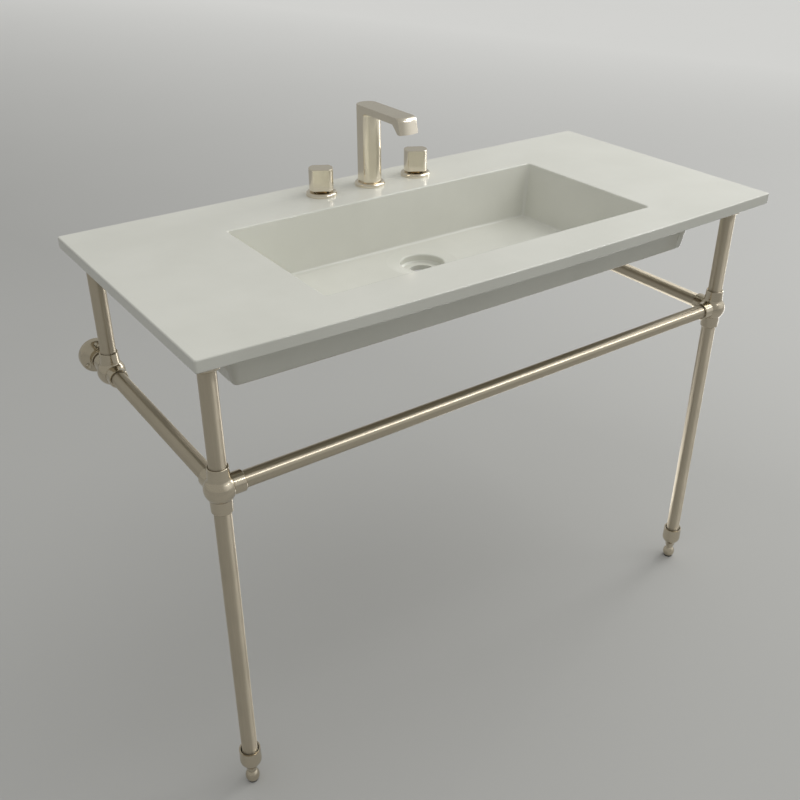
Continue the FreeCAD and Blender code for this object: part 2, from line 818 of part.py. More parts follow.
def make_slot(gap, low_cut, high_cut):
    """Leaning slot through the lip, narrowed by a gap, between two depths from its mouth."""
    foot, top, lean = slot_line()
    low = foot[1] + low_cut - (0 if gap else overrun)
    high = min(foot[1] + high_cut, top)
    half = slot_thickness / 2 - gap
    corners = []
    for offset, level in ((-half, low), (half, low), (half, high), (-half, high)):
        corners.append(forward(foot[0] + lean * (level - foot[1]) + offset, level))
    width = channel_width / 2 - gap
    face = Part.Face(Part.makePolygon(corners + corners[:1]))
    face.translate(LEFT * width)
    return face.extrude(RIGHT * 2 * width)


def make_outlet_insert():
    """Flow straightener in the lip's slot, with a row of small holes."""
    insert = make_slot(seat_gap, 0, insert_height)
    pitch = channel_width / (insert_hole_count + 1)
    foot, top, lean = slot_line()
    along = at(0, -lean, 1)
    for index in range(insert_hole_count):
        start = forward(foot[0], foot[1]) + RIGHT * (pitch * (index + 1) - channel_width / 2)
        insert = insert.cut(rod(insert_hole_radius, start - along * overrun, along,
                                insert_height + 3 * overrun))
    return insert


def make_shank():
    """Threaded tube under the spout, with a narrower inlet at its lower end."""
    length = shank_below_deck + slab_thickness + ring_land_height + shank_engagement
    shank = turned((shank_bore_radius, 0), [(shank_tip_radius, 0), (shank_tip_radius, shank_tip_length),
                                            (shank_radius, shank_tip_length), (shank_radius, length),
                                            (shank_bore_radius, length)])
    return aimed(shank, at(0, faucet_y, slab_under - shank_below_deck), UP)


def build():
    nodes = {"sink_top": make_sink_top()}
    screws = []
    pads = []
    for name, side in SIDES:
        x = side * leg_x
        nodes[name + "_ball_fitting"], front_screws = make_ball_fitting(side)
        nodes[name + "_rear_fitting"], rear_screws = make_rear_fitting(side)
        screws += front_screws + rear_screws
        for place, y in (("front", leg_y), ("rear", rear_y)):
            nodes[name + "_" + place + "_collar"] = make_collar(x, y)
            nodes[name + "_" + place + "_post"] = make_post(x, y)
            pads.append(make_post_pad(x, y))
        leg_top = frame_height - down_arm_reach + socket_engagement
        nodes[name + "_front_leg"] = pipe(tube_radius, tube_wall, at(x, leg_y, cup_seat_height), UP,
                                          leg_top - cup_seat_height)
        seat = side_arm_reach - socket_engagement
        nodes[name + "_side_rail"] = pipe(tube_radius, tube_wall, at(x, leg_y + seat, frame_height), BACK,
                                          rear_y - leg_y - 2 * seat)
        stub_start = rear_y + seat
        nodes[name + "_wall_stub"] = pipe(tube_radius, tube_wall, at(x, stub_start, frame_height), BACK,
                                          wall_y - flange_floor - stub_start)
        nodes[name + "_wall_flange"] = make_wall_flange(x)
        nodes[name + "_foot_cup"] = make_foot_cup(x, leg_y)
        nodes[name + "_leg_insert"] = make_leg_insert(x, leg_y)
        nodes[name + "_levelling_foot"] = make_levelling_foot(x, leg_y)
        nodes[name + "_foot_pad"] = rod(foot_pad_radius, at(x, leg_y, 0), UP, pad_seat_height)

        valve_x = side * faucet_spacing
        nodes[name + "_handle_ring"] = make_ring(valve_x, False)
        nodes[name + "_handle_knob"] = make_knob(valve_x)
        nodes[name + "_knob_screw"] = make_knob_screw(valve_x)
        nodes[name + "_valve_stem"] = make_stem(valve_x)
        nodes[name + "_valve_bonnet"] = make_bonnet(valve_x)
        nodes[name + "_valve_body"] = make_valve_body(valve_x)

    bar_start = leg_x - side_arm_reach + socket_engagement
    nodes["front_cross_bar"] = pipe(tube_radius, tube_wall, at(-bar_start, leg_y, frame_height), RIGHT,
                                    2 * bar_start)
    nodes["frame_set_screws"] = Part.makeCompound(screws)
    nodes["post_pads"] = Part.makeCompound(pads)

    nodes["spout_base_ring"] = make_ring(0, True)
    nodes["spout_body"] = make_spout_body()
    nodes["spout_outlet_insert"] = make_outlet_insert()
    nodes["spout_shank"] = make_shank()
    fixings = ((-faucet_spacing, valve_radius), (0, shank_radius), (faucet_spacing, valve_radius))
    nodes["deck_rubber_washers"] = Part.makeCompound(
        [make_washer(x, bore, 0, washer_thickness) for x, bore in fixings])
    nodes["deck_metal_washers"] = Part.makeCompound(
        [make_washer(x, bore, washer_thickness, plate_thickness) for x, bore in fixings])
    nodes["deck_nuts"] = Part.makeCompound([make_nut(x, bore) for x, bore in fixings])
    return nodes


os.makedirs("parts", exist_ok=True)
for node, shape in build().items():
    shape.exportStep("parts/" + node + ".step")
    print(node, len(shape.Solids), round(shape.Volume), shape.isValid())
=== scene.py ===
import json
import math

import bmesh
import bpy
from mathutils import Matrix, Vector


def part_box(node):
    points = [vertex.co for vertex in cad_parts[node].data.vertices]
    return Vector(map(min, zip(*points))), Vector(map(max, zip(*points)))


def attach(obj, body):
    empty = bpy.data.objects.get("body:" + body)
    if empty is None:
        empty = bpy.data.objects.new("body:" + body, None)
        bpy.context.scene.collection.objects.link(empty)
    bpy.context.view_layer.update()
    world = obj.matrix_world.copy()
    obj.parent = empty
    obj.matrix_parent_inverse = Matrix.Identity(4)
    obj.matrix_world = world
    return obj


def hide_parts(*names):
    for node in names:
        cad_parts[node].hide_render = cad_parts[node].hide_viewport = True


# Looks of a console sink: one glazed casting on a brushed metal frame, with a spout
# and two knobs. Metres where nothing else is said, +Z up, the front looks towards -Y,
# left is -X. Outlines are points of (radius, height).

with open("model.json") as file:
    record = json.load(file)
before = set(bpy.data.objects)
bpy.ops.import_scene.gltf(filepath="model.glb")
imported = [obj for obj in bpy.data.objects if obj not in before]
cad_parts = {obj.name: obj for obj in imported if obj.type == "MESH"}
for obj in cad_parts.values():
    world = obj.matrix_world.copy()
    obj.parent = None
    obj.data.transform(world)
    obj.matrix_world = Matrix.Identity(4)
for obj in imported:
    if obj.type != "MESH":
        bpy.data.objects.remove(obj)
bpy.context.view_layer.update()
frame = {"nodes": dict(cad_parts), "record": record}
nodes = frame["nodes"]
scene = bpy.context.scene
scene.view_settings.view_transform = "Standard"

# Camera, fitted to the straight edges of the photograph
CAMERA_PLACE = (-0.9735, -1.2962, 1.4341)
CAMERA_TILT_DEG = 59.66
CAMERA_TURN_DEG = -35.01
CAMERA_LENS = 43.56
CAMERA_SENSOR = 36.0

# Colours, linear
GLAZE_LIGHT = (0.715, 0.715, 0.645)
GLAZE_DARK = (0.685, 0.685, 0.615)
BISQUE_LIGHT = (0.62, 0.55, 0.45)
BISQUE_DARK = (0.50, 0.43, 0.34)
NICKEL_LIGHT = (0.64, 0.57, 0.45)
NICKEL_DARK = (0.53, 0.47, 0.365)
FAUCET_LIGHT = (0.86, 0.79, 0.66)
FAUCET_DARK = (0.77, 0.705, 0.59)
BRASS_LIGHT = (0.74, 0.56, 0.28)
BRASS_DARK = (0.52, 0.37, 0.17)
STEEL_LIGHT = (0.58, 0.57, 0.55)
STEEL_DARK = (0.42, 0.41, 0.39)
RUBBER_LIGHT = (0.030, 0.030, 0.030)
RUBBER_DARK = (0.014, 0.014, 0.015)
PLASTIC_LIGHT = (0.060, 0.060, 0.062)
PLASTIC_DARK = (0.035, 0.035, 0.037)
FLOOR_LIGHT = (0.475, 0.475, 0.455)
FLOOR_DARK = (0.455, 0.455, 0.435)
# Painted light: the floor's colour grows towards this on the right, away from the object
FLOOR_PAINTED_LIGHT = (0.94, 0.94, 0.91)
FLOOR_BOUNCE = (0.27, 0.27, 0.255)
AMBIENT_HIGH = (0.88, 0.88, 0.88)
AMBIENT_LOW = (0.16, 0.16, 0.16)
BACKDROP_BRIGHT = (0.85, 0.86, 0.86)
BACKDROP_DIM = (0.40, 0.40, 0.38)

# Noise lies about its middle; a contrast is the half width that is spread over a full range
NOISE_MIDDLE = 0.5
COLOUR_CONTRAST = 0.15
METAL_CONTRAST = 0.18
ROUGHNESS_CONTRAST = 0.20
PLAIN_DETAIL = 1.0
GRAIN_DETAIL = 2.0
CLOUD_DETAIL = 3.0
MOULD_DETAIL = 4.0

# Glaze and the bare clay where the kiln props stand
GLAZE_GLOSS = 0.42
GLAZE_IOR = 1.5
GLAZE_ROUGHNESS = (0.11, 0.16)
GLAZE_CLOUDS = 9.0
GLAZE_PEEL = 260.0
GLAZE_RELIEF = 0.00003
CLAY_ROUGHNESS = 0.85
CLAY_GRAIN = 900.0
CLAY_RELIEF_SHARE = 4.0
CLAY_BAND = (0.0005, 0.0035)
FOOT_ABOVE_LOW = 0.0078
DRAIN_LEDGE = 0.009
GLAZED_ROUND_DRAIN = (0.0415, 0.0425)
POCKET_ROOF_BELOW_RIM = 0.0292
POCKET_ROOF_MARGIN = 0.0008
POCKET_X = (0.3276, 0.465)
POCKET_Y = (-0.163, 0.116)
POCKET_BELOW_LOW = 0.02
POCKET_BLUR = 0.0004

# Metals: brush lines or grain, clouds, and how far roughness strays
LINES_ACROSS = 2600.0
LINES_ALONG = 18.0
LINES_SHARE = 0.6
METAL_CLOUDS = 14.0
METAL_RELIEF = 0.000012
METAL_STRAY = 0.05
QUARTER_TURN = 0.25
TUBE_ROUGHNESS = 0.40
TUBE_ANISOTROPY = 0.94
CAST_ROUGHNESS = 0.19
CAST_GRAIN = 0.6
BRASS_ROUGHNESS = 0.34
STEEL_ROUGHNESS = 0.38
TURNED_GRAIN = 0.4

# Rubber and plastic
MATTE_GLOSS = 0.4
MATTE_STRAY = 0.08
RUBBER_ROUGHNESS = 0.72
RUBBER_GRAIN = 1400.0
RUBBER_RELIEF = 0.00004
PLASTIC_ROUGHNESS = 0.45
PLASTIC_GRAIN = 1800.0
PLASTIC_RELIEF = 0.00001

# Floor
FLOOR_HALF = 40.0
FLOOR_GLOSS = 0.15
FLOOR_ROUGHNESS = (0.65, 0.75)
FLOOR_CLOUDS = 1.3
FLOOR_GRAIN = 90.0
FLOOR_RELIEF = 0.0001

# Where painted light makes the floor's colour paler, and where the even light and the backdrop get brighter,
# as a direction from the object, and where along it that starts and ends (metres on the floor, cosines for
# the other two)
FLOOR_PAINTED_LIGHT_AIM = (0.94, 0.33, 0.0)
FLOOR_PAINTED_LIGHT_RISE = (0.8, 6.0)
AMBIENT_AIM = (0.40, -0.20, 0.88)
AMBIENT_RISE = (-0.6, 1.0)
BACKDROP_AIM = (0.90, -0.30, 0.20)
BACKDROP_RISE = (0.35, 1.0)

# Area lamps; the mirrored ones show only as a streak in glossy surfaces
WIDE_BEAM_DEG = 180.0
LAMPS = (
    {"name": "lamp_key", "place": (1.5, -0.3, 2.3), "target": (0.2, 0.0, 0.8),
     "width": 1.4, "height": 1.4, "power": 12.0},
    {"name": "lamp_right", "place": (6.0, 0.4, 2.3), "target": (0.0, 0.0, 0.8),
     "width": 1.8, "height": 3.0, "power": 11.0, "beam_deg": 60.0},
    {"name": "lamp_front", "place": (2.1, -2.3, 2.7), "target": (2.1, -0.2, 0.6),
     "width": 3.0, "height": 0.40, "power": 42.0, "only_mirrored": True},
    {"name": "lamp_low", "place": (1.8, 0.15, 0.02), "target": (1.8, 0.15, 1.0),
     "width": 3.2, "height": 0.42, "power": 8.7, "only_mirrored": True},
)

# Directions
UP = (0.0, 0.0, 1.0)
BACK = (0.0, 1.0, 0.0)
FRONT = (0.0, -1.0, 0.0)

# Turned metal pieces, millimetres
MM = 0.001
TURN_STEPS = 72
ARC_STEPS = 8
SHARP_DEG = 28.0
BALL_RADIUS = 24.25
BALL_STEPS = 20
MOUTH_RADIUS = 14.65
MOUTH_DEPTH = 2.5
EDGE = 0.8
UP_REACH = 38.0
UP_RADIUS = 16.0
NECK_ROOT = 17.0
NECK_BLEND = 10.0
NECK_STEPS = 6
DOWN_REACH = 39.0
DOWN_RADIUS = 16.6
DOWN_ROOT = 17.2
BALL_LEDGE = 1.0
SIDE_REACH = 36.3
WALL_SIDE_REACH = 42.0
SIDE_RADIUS = 17.0
REAR_BALL_STEPS = 12

# Wall flange, millimetres from the wall
FLANGE_RIM = 31.0
FLANGE_EDGE = 8.0
FLANGE_SHOULDER_MIDDLE = (30.05, 11.3)
FLANGE_SHOULDER = (27.5, 13.0)
FLANGE_SHOULDER_STEPS = 6
FLANGE_HUB = 17.2
FLANGE_DOME_TOP = 18.5
FLANGE_REACH = 30.0
FLANGE_HOLES = 3
FLANGE_FIRST_HOLE_DEG = 90.0
FLANGE_HOLE_CIRCLE_RADIUS = 24.5
FLANGE_HOLE_RADIUS = 3.25
FLANGE_SINK_RADIUS = 5.5
FLANGE_SINK_LOW = 12.7
FLANGE_SINK_HIGH = 14.9
FLANGE_CUT_LOW = -5.0
FLANGE_CUT_HIGH = 25.0

# Foot cup and levelling foot, millimetres above the ground
CUP_NECK = (9.8, 31.0)
CUP_FLARE = (11.15, 37.0)
CUP_WAIST = (14.5, 43.0)
CUP_BELLY = (18.25, 49.5)
CUP_BULGE = (18.8, 56.0)
CUP_RIM = ((18.3, 78.0), (15.7, 78.0), (13.5, 66.0))
CUP_INSIDE = ((13.5, 50.0), (5.3, 50.0), (5.3, 39.0), (7.9, 39.0), (7.9, 31.0))
FOOT_SOLE = ((0.0, 4.0), (9.15, 4.0), (9.15, 3.0), (9.9, 3.0))
FOOT_BELLY = (12.3, 12.5)
FOOT_NECK = (7.4, 23.5)
FOOT_BELLY_STEPS = 14
FOOT_STUD = ((7.4, 35.0), (5.0, 35.0), (5.0, 97.2), (4.2, 98.0), (0.0, 98.0))

# Corners of the body under the slab, millimetres; each grows with the body's cove
BODY_HALF = 474.4
BODY_FRONT = -170.6
BODY_BACK = 123.0
BODY_BOW = 4.5
BODY_DRAFT = 8.5
BODY_DRAFT_HEIGHT = 45.0
BODY_HEIGHT = 97.2
COVE_OUT = {"front": 31.0, "side": 25.0, "back": 9.0}
COVE_DEG = 60.0
COVE_STEPS = 8
SOLID_CORNER = 20.0
TIGHT_CORNER = 8.0
CORNER_STEPS = 8
BOTTOM_EDGE = 5.0
BOTTOM_EDGE_HEIGHTS = (0.0, 0.4, 1.2, 2.5)
CORNER_SINK = 0.3


def put(tree, socket, value):
    """Link a socket, or set a plain value or colour on it."""
    if isinstance(value, bpy.types.NodeSocket):
        tree.links.new(value, socket)
    elif socket.type == "RGBA" and isinstance(value, tuple):
        socket.default_value = (*value, 1.0)
    else:
        socket.default_value = value


def node(tree, kind, inputs=(), **settings):
    """New node with its settings and its inputs by name or number."""
    made = tree.nodes.new(kind)
    for key, value in settings.items():
        setattr(made, key, value)
    for key, value in dict(inputs).items():
        put(tree, made.inputs[key], value)
    return made


def object_point(tree):
    return node(tree, "ShaderNodeTexCoord").outputs["Object"]


def scaled(tree, vector, scale):
    return node(tree, "ShaderNodeVectorMath", {0: vector, 1: scale}, operation="MULTIPLY").outputs[0]


def noise(tree, vector, scale, detail=GRAIN_DETAIL):
    return node(tree, "ShaderNodeTexNoise", {"Vector": vector, "Scale": scale, "Detail": detail}).outputs[0]


def remap(tree, value, low, high, out_low, out_high):
    return node(tree, "ShaderNodeMapRange", {"Value": value, "From Min": low, "From Max": high,
                                             "To Min": out_low, "To Max": out_high}).outputs[0]


def spread(tree, value, contrast, low=0.0, high=1.0):
    """Spread the middle of a noise over a range."""
    return remap(tree, value, NOISE_MIDDLE - contrast, NOISE_MIDDLE + contrast, low, high)


def calc(tree, operation, first, second):
    return node(tree, "ShaderNodeMath", {0: first, 1: second}, operation=operation).outputs[0]


def mix(tree, factor, first, second):
    return node(tree, "ShaderNodeMix", {0: factor, 6: first, 7: second}, data_type="RGBA").outputs[2]


def bump(tree, height, distance):
    return node(tree, "ShaderNodeBump", {"Height": height, "Distance": distance,
                                         "Strength": 1.0}).outputs[0]


def new_material(name, **sockets):
    """Material with a principled shader whose uniform values are set on its sockets."""
    material = bpy.data.materials.new(name)
    material.use_nodes = True
    tree = material.node_tree
    shader = tree.nodes["Principled BSDF"]
    for key, value in sockets.items():
        shader.inputs[key.replace("_", " ")].default_value = value
    return material, tree, shader


def surface(tree, shader, colour, roughness, normal):
    tree.links.new(colour, shader.inputs["Base Color"])
    tree.links.new(roughness, shader.inputs["Roughness"])
    tree.links.new(normal, shader.inputs["Normal"])


def inside_box(tree, axes, spans, blur):
    """1 inside a box given by its span on each axis, 0 outside, with a soft edge."""
    result = None
    for axis, (start, end) in zip(axes, spans):
        above = remap(tree, axis, start - blur, start + blur, 0.0, 1.0)
        below = remap(tree, axis, end - blur, end + blur, 1.0, 0.0)
        both = calc(tree, "MULTIPLY", above, below)
        result = both if result is None else calc(tree, "MULTIPLY", result, both)
    return result


def drain_point(height):
    """Point of the drain's axis on top of its ledge, above a height."""
    for mount in frame["record"]["mounts"]:
        if mount["name"] == "drain_hole":
            return (mount["pos_m"][0], mount["pos_m"][1], height + DRAIN_LEDGE)
    raise ValueError("drain_hole")


def bare_clay(tree, point):
    """1 in the pockets and on the casting's foot, but not round the drain; 0 where it is glazed."""
    split = node(tree, "ShaderNodeSeparateXYZ", {0: point})
    low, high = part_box("sink_top")
    foot = low.z + FOOT_ABOVE_LOW
    axes = [calc(tree, "ABSOLUTE", split.outputs[0], 0.0), split.outputs[1], split.outputs[2]]
    pocket_z = (low.z - POCKET_BELOW_LOW, high.z - POCKET_ROOF_BELOW_RIM + POCKET_ROOF_MARGIN)
    pocket = inside_box(tree, axes, (POCKET_X, POCKET_Y, pocket_z), POCKET_BLUR)
    base = remap(tree, split.outputs[2], foot + CLAY_BAND[1], foot + CLAY_BAND[0], 0.0, 1.0)
    around_drain = node(tree, "ShaderNodeVectorMath", {0: point, 1: drain_point(low.z)},
                        operation="DISTANCE")
    outside = remap(tree, around_drain.outputs[1], *GLAZED_ROUND_DRAIN, 0.0, 1.0)
    return calc(tree, "MAXIMUM", pocket, calc(tree, "MULTIPLY", base, outside))


def glaze_material():
    """Satin glaze with faint clouds and orange peel, and bare clay below."""
    material, tree, shader = new_material("fireclay_glaze", Specular_IOR_Level=GLAZE_GLOSS, IOR=GLAZE_IOR)
    point = object_point(tree)
    clay = bare_clay(tree, point)
    clouds = noise(tree, point, GLAZE_CLOUDS, CLOUD_DETAIL)
    grain = noise(tree, point, CLAY_GRAIN)
    peel = noise(tree, point, GLAZE_PEEL, PLAIN_DETAIL)
    glaze = mix(tree, spread(tree, clouds, COLOUR_CONTRAST), GLAZE_DARK, GLAZE_LIGHT)
    bisque = mix(tree, spread(tree, grain, COLOUR_CONTRAST), BISQUE_DARK, BISQUE_LIGHT)
    colour = mix(tree, clay, glaze, bisque)
    gloss = spread(tree, clouds, ROUGHNESS_CONTRAST, *GLAZE_ROUGHNESS)
    roughness = remap(tree, clay, 0.0, 1.0, gloss, CLAY_ROUGHNESS)
    clay_relief = calc(tree, "MULTIPLY", calc(tree, "MULTIPLY", grain, clay), CLAY_RELIEF_SHARE)
    surface(tree, shader, colour, roughness, bump(tree, calc(tree, "ADD", peel, clay_relief), GLAZE_RELIEF))
    return material


def metal_material(name, light, dark, rough, brush=None, anisotropic=0.0, coarse=1.0):
    """Metal with fine brush lines along one axis, or an even satin grain without one."""
    material, tree, shader = new_material(name, Metallic=1.0, Anisotropic=anisotropic)
    point = object_point(tree)
    scale = [LINES_ACROSS * coarse] * 3
    if brush is not None:
        scale["XYZ".index(brush)] = LINES_ALONG * coarse
        shader.inputs["Anisotropic Rotation"].default_value = QUARTER_TURN
        tangent = node(tree, "ShaderNodeTangent", direction_type="RADIAL", axis=brush)
        tree.links.new(tangent.outputs[0], shader.inputs["Tangent"])
    lines = noise(tree, scaled(tree, point, tuple(scale)), 1.0, CLOUD_DETAIL)
    clouds = noise(tree, point, METAL_CLOUDS, CLOUD_DETAIL)
    blend = calc(tree, "ADD", calc(tree, "MULTIPLY", lines, LINES_SHARE),
                 calc(tree, "MULTIPLY", clouds, 1.0 - LINES_SHARE))
    colour = mix(tree, spread(tree, blend, METAL_CONTRAST), dark, light)
    roughness = spread(tree, blend, ROUGHNESS_CONTRAST, rough - METAL_STRAY, rough + METAL_STRAY)
    surface(tree, shader, colour, roughness, bump(tree, lines, METAL_RELIEF))
    return material


def tube_material(axis):
    return metal_material("nickel_brushed_" + axis.lower(), NICKEL_LIGHT, NICKEL_DARK, TUBE_ROUGHNESS,
                          axis, TUBE_ANISOTROPY)


def matte_material(name, light, dark, rough, scale, depth):
    """Rubber or plastic with a fine moulded grain."""
    material, tree, shader = new_material(name, Specular_IOR_Level=MATTE_GLOSS)
    point = object_point(tree)
    grain = noise(tree, point, scale, MOULD_DETAIL)
    colour = mix(tree, spread(tree, grain, COLOUR_CONTRAST), dark, light)
    roughness = spread(tree, grain, ROUGHNESS_CONTRAST, rough - MATTE_STRAY, rough + MATTE_STRAY)
    surface(tree, shader, colour, roughness, bump(tree, grain, depth))
    return material


materials = {
    "glaze": glaze_material(),
    "tube_x": tube_material("X"),
    "tube_y": tube_material("Y"),
    "tube_z": tube_material("Z"),
    "fitting": metal_material("nickel_satin", NICKEL_LIGHT, NICKEL_DARK, CAST_ROUGHNESS, coarse=CAST_GRAIN),
    "faucet": metal_material("nickel_faucet", FAUCET_LIGHT, FAUCET_DARK, CAST_ROUGHNESS, coarse=CAST_GRAIN),
    "brass": metal_material("brass_machined", BRASS_LIGHT, BRASS_DARK, BRASS_ROUGHNESS, coarse=TURNED_GRAIN),
    "steel": metal_material("steel_plain", STEEL_LIGHT, STEEL_DARK, STEEL_ROUGHNESS, coarse=TURNED_GRAIN),
    "rubber": matte_material("rubber_black", RUBBER_LIGHT, RUBBER_DARK,
                             RUBBER_ROUGHNESS, RUBBER_GRAIN, RUBBER_RELIEF),
    "plastic": matte_material("plastic_dark", PLASTIC_LIGHT, PLASTIC_DARK,
                              PLASTIC_ROUGHNESS, PLASTIC_GRAIN, PLASTIC_RELIEF),
}

TUBE_AXES = {"front_cross_bar": "tube_x", "side_rail": "tube_y", "wall_stub": "tube_y",
             "front_post": "tube_z", "rear_post": "tube_z", "front_leg": "tube_z"}
SLOT_MATERIALS = {"fireclay": "glaze", "nickel_fitting": "fitting", "nickel_faucet": "faucet",
                  "steel_hardware": "steel", "brass_shank": "brass", "rubber": "rubber",
                  "outlet_plastic": "plastic"}


def material_for(name, slot):
    """Finish of a node; a tube's brush lines follow the axis that its name tells."""
    if slot != "nickel_tube":
        return materials[SLOT_MATERIALS[slot]]
    for ending, key in TUBE_AXES.items():
        if name.endswith(ending):
            return materials[key]
    raise ValueError(name)


def dress_nodes():
    """Give each solid of the frame the finish of its material slot."""
    for row in frame["record"]["subparts"]:
        shown = nodes[row["node"]]
        material = material_for(row["node"], row["material_slot"])
        shown.data.materials.clear()
        shown.data.materials.append(material)


def arc(start, middle, end, count=ARC_STEPS):
    """Points after the first on the circle through three points."""
    (ax, ay), (bx, by), (cx, cy) = start, middle, end
    twice = 2 * (ax * (by - cy) + bx * (cy - ay) + cx * (ay - by))
    squares = (ax * ax + ay * ay, bx * bx + by * by, cx * cx + cy * cy)
    x = (squares[0] * (by - cy) + squares[1] * (cy - ay) + squares[2] * (ay - by)) / twice
    y = (squares[0] * (cx - bx) + squares[1] * (ax - cx) + squares[2] * (bx - ax)) / twice
    first = math.atan2(ay - y, ax - x)
    swing = math.remainder(math.atan2(cy - y, cx - x) - first, 2 * math.pi)
    radius = math.hypot(ax - x, ay - y)
    turns = [first + swing * step / count for step in range(1, count + 1)]
    return [(x + radius * math.cos(turn), y + radius * math.sin(turn)) for turn in turns]


def turn(mesh, outline, place, axis):
    """Add an outline in millimetres, turned about an axis through a place."""
    lean = Vector(UP).rotation_difference(Vector(axis)).to_matrix()
    rings = []
    for radius, height in outline:
        count = TURN_STEPS if radius else 1
        angles = [2 * math.pi * step / TURN_STEPS for step in range(count)]
        spots = [Vector((radius * math.cos(angle), radius * math.sin(angle), height)) for angle in angles]
        rings.append([mesh.verts.new(Vector(place) + lean @ spot * MM) for spot in spots])
    if outline[0][0]:
        rings.append(rings[0])
    for lower, upper in zip(rings, rings[1:]):
        for step in range(TURN_STEPS):
            after = step + 1
            corners = [lower[step % len(lower)], lower[after % len(lower)],
                       upper[after % len(upper)], upper[step % len(upper)]]
            mesh.faces.new(dict.fromkeys(corners))


def new_object(name, mesh):
    """Object of a bmesh, smooth but for its sharp edges."""
    bmesh.ops.recalc_face_normals(mesh, faces=mesh.faces)
    data = bpy.data.meshes.new(name)
    mesh.to_mesh(data)
    mesh.free()
    data.shade_smooth()
    data.set_sharp_from_angle(angle=math.radians(SHARP_DEG))
    made = bpy.data.objects.new(name, data)
    scene.collection.objects.link(made)
    return made


def stand_for(made, node_name, body):
    """Finish a fitting's piece that takes the place of a node."""
    made.data.materials.append(materials["fitting"])
    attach(made, body)
    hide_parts(node_name)


def middle_of(node_name):
    low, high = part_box(node_name)
    return (low + high) / 2


def fitting_centre(side, end):
    """Crossing of the tubes' axes in a front or rear fitting."""
    upright = middle_of(side + ("_front_leg" if end == "front" else "_rear_post"))
    return Vector((upright.x, upright.y, middle_of("front_cross_bar").z))


def socket_mouth(radius, reach):
    """Outline of an arm's end with the ring-shaped recess round its tube."""
    return [(radius, reach - EDGE), (radius - EDGE, reach), (MOUTH_RADIUS, reach),
            (MOUTH_RADIUS, reach - MOUTH_DEPTH), (0.0, reach - MOUTH_DEPTH)]


def arm_outline(reach):
    """Plain side arm, from the middle of the ball to its mouth."""
    return [(0.0, 0.0), (SIDE_RADIUS, 0.0)] + socket_mouth(SIDE_RADIUS, reach)


def upper_outline(start):
    """The ball's outline from a point below its middle, and the neck that it flows into."""
    centre = NECK_ROOT + NECK_BLEND
    height = math.sqrt((BALL_RADIUS + NECK_BLEND) ** 2 - centre ** 2)
    touch = BALL_RADIUS / (BALL_RADIUS + NECK_BLEND)
    leave = (centre * touch, height * touch)
    half = (math.pi + math.atan2(height, centre) + math.pi) / 2
    hollow = (centre + NECK_BLEND * math.cos(half), height + NECK_BLEND * math.sin(half))
    ball = arc(start, (BALL_RADIUS, 0.0), leave, BALL_STEPS)
    neck = arc(leave, hollow, (NECK_ROOT, height), NECK_STEPS)
    return ball + neck + socket_mouth(UP_RADIUS, UP_REACH)


def make_front_fitting(side, inward):
    """Ball with a flared neck above and three plain arms."""
    overhang = DOWN_ROOT + BALL_LEDGE
    crease = -math.sqrt(BALL_RADIUS ** 2 - overhang ** 2)
    below = [(radius, -height) for radius, height in reversed(socket_mouth(DOWN_RADIUS, DOWN_REACH))]
    outline = below + [(DOWN_ROOT, crease), (overhang, crease)] + upper_outline((overhang, crease))
    arm = arm_outline(SIDE_REACH)
    centre = fitting_centre(side, "front")
    mesh = bmesh.new()
    turn(mesh, outline, centre, UP)
    turn(mesh, arm, centre, (inward, 0.0, 0.0))
    turn(mesh, arm, centre, BACK)
    stand_for(new_object(side + "_ball_fitting_visual", mesh), side + "_ball_fitting", "console")


def make_rear_fitting(side):
    """Ball with a flared neck above and two arms, one to the rail and one to the wall."""
    bottom = (0.0, -BALL_RADIUS)
    slant = BALL_RADIUS * math.sqrt(0.5)
    quarter = arc(bottom, (slant, -slant), (BALL_RADIUS, 0.0), REAR_BALL_STEPS)
    below = [bottom] + quarter[:-1]
    centre = fitting_centre(side, "rear")
    mesh = bmesh.new()
    turn(mesh, below + upper_outline(below[-1]), centre, UP)
    turn(mesh, arm_outline(SIDE_REACH), centre, FRONT)
    turn(mesh, arm_outline(WALL_SIDE_REACH), centre, BACK)
    stand_for(new_object(side + "_rear_fitting_visual", mesh), side + "_rear_fitting", "console")


def flange_outline():
    """Plate with a rounded shoulder, a cone and a hub with its socket."""
    edge = (FLANGE_RIM, FLANGE_EDGE)
    shoulder = arc(edge, FLANGE_SHOULDER_MIDDLE, FLANGE_SHOULDER, FLANGE_SHOULDER_STEPS)
    plate = [(0.0, 0.0), (FLANGE_RIM, 0.0), edge]
    return plate + shoulder + [(FLANGE_HUB, FLANGE_DOME_TOP)] + socket_mouth(FLANGE_HUB, FLANGE_REACH)


def hole_outline():
    """Countersunk hole, longer than the flange is thick at both ends."""
    return [(0.0, FLANGE_CUT_LOW), (FLANGE_HOLE_RADIUS, FLANGE_CUT_LOW),
            (FLANGE_HOLE_RADIUS, FLANGE_SINK_LOW), (FLANGE_SINK_RADIUS, FLANGE_SINK_HIGH),
            (FLANGE_SINK_RADIUS, FLANGE_CUT_HIGH), (0.0, FLANGE_CUT_HIGH)]


def make_wall_flange(side):
    """Domed flange with three countersunk holes, one of them at the top."""
    low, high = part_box(side + "_wall_flange")
    centre = Vector(((low.x + high.x) / 2, high.y, (low.z + high.z) / 2))
    mesh = bmesh.new()
    turn(mesh, flange_outline(), centre, FRONT)
    flange = new_object(side + "_wall_flange_visual", mesh)
    holes = bmesh.new()
    for index in range(FLANGE_HOLES):
        angle = math.radians(FLANGE_FIRST_HOLE_DEG + 360.0 * index / FLANGE_HOLES)
        aside = Vector((math.cos(angle), 0.0, math.sin(angle))) * FLANGE_HOLE_CIRCLE_RADIUS * MM
        turn(holes, hole_outline(), centre + aside, FRONT)
    drill(flange, new_object("holes", holes))
    stand_for(flange, side + "_wall_flange", "console")


